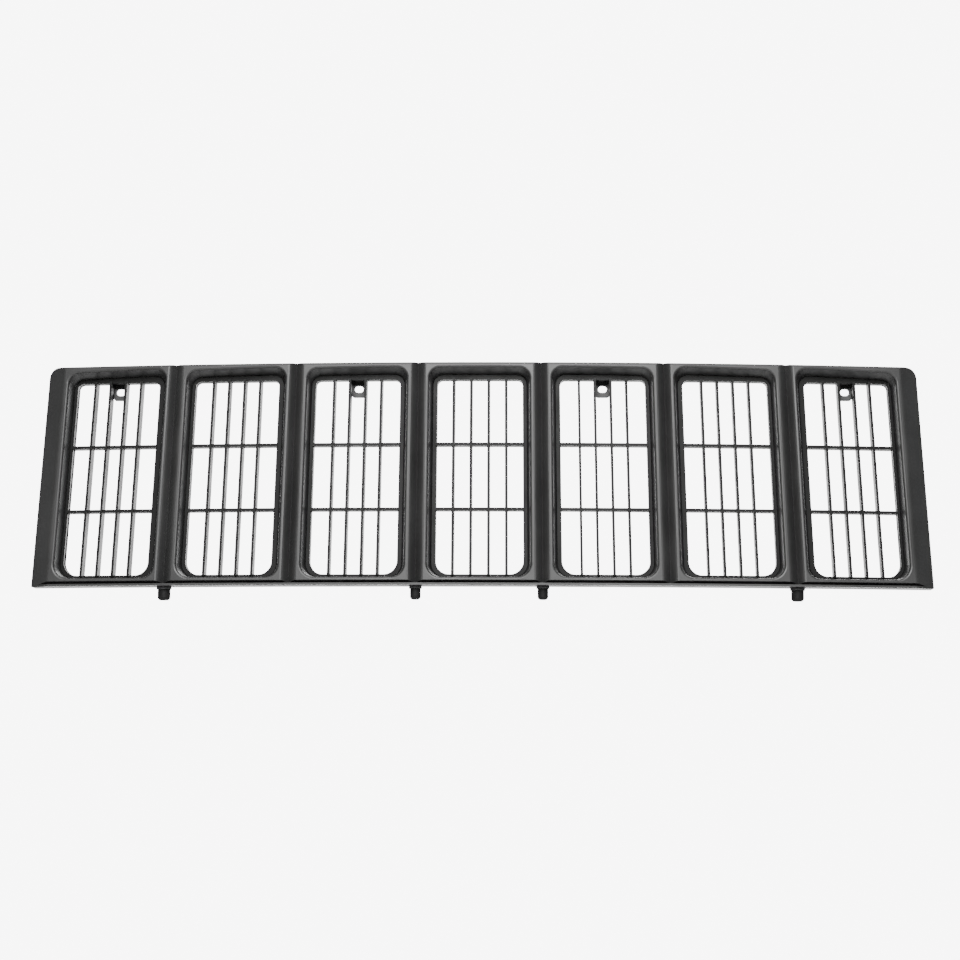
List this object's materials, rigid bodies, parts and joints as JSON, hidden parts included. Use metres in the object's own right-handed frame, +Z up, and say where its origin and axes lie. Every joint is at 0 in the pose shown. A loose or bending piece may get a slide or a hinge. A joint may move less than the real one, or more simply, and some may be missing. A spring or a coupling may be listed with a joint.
{
  "type": "front grille",
  "caption": "Wide bowed vehicle grille: a moulded surround with a row of tall rimmed openings, each with an upright louvre insert, hung on slotted tabs and set on rubber-capped pins.",
  "frame": {"origin": "on the underside of the bottom flange, on the centreline, 17 mm behind the front surface", "axes": "+X along the width to the right as seen from the front, +Y backwards into the vehicle, +Z up"},
  "size_m": [0.9418, 0.0796, 0.2445],
  "materials": {
    "surround": "satin black moulded ABS, fine grain",
    "louvre": "matt black moulded polypropylene",
    "tab": "black glass-filled nylon",
    "pin": "dark grey acetal",
    "isolator": "black EPDM rubber",
    "screw": "zinc-plated steel, dull"
  },
  "bodies": {
    "root": {"surround_frame": "surround", "louvre_insert_1": "louvre", "louvre_insert_2": "louvre", "louvre_insert_3": "louvre", "louvre_insert_4": "louvre", "louvre_insert_5": "louvre", "louvre_insert_6": "louvre", "louvre_insert_7": "louvre", "mounting_tab_1": "tab", "mounting_tab_2": "tab", "mounting_tab_3": "tab", "mounting_tab_4": "tab", "locating_pin_1": "pin", "locating_pin_2": "pin", "locating_pin_3": "pin", "locating_pin_4": "pin", "pin_isolator_1": "isolator", "pin_isolator_2": "isolator", "pin_isolator_3": "isolator", "pin_isolator_4": "isolator", "insert_screws": "screw", "tab_screws": "screw"}
  },
  "joints": []
}
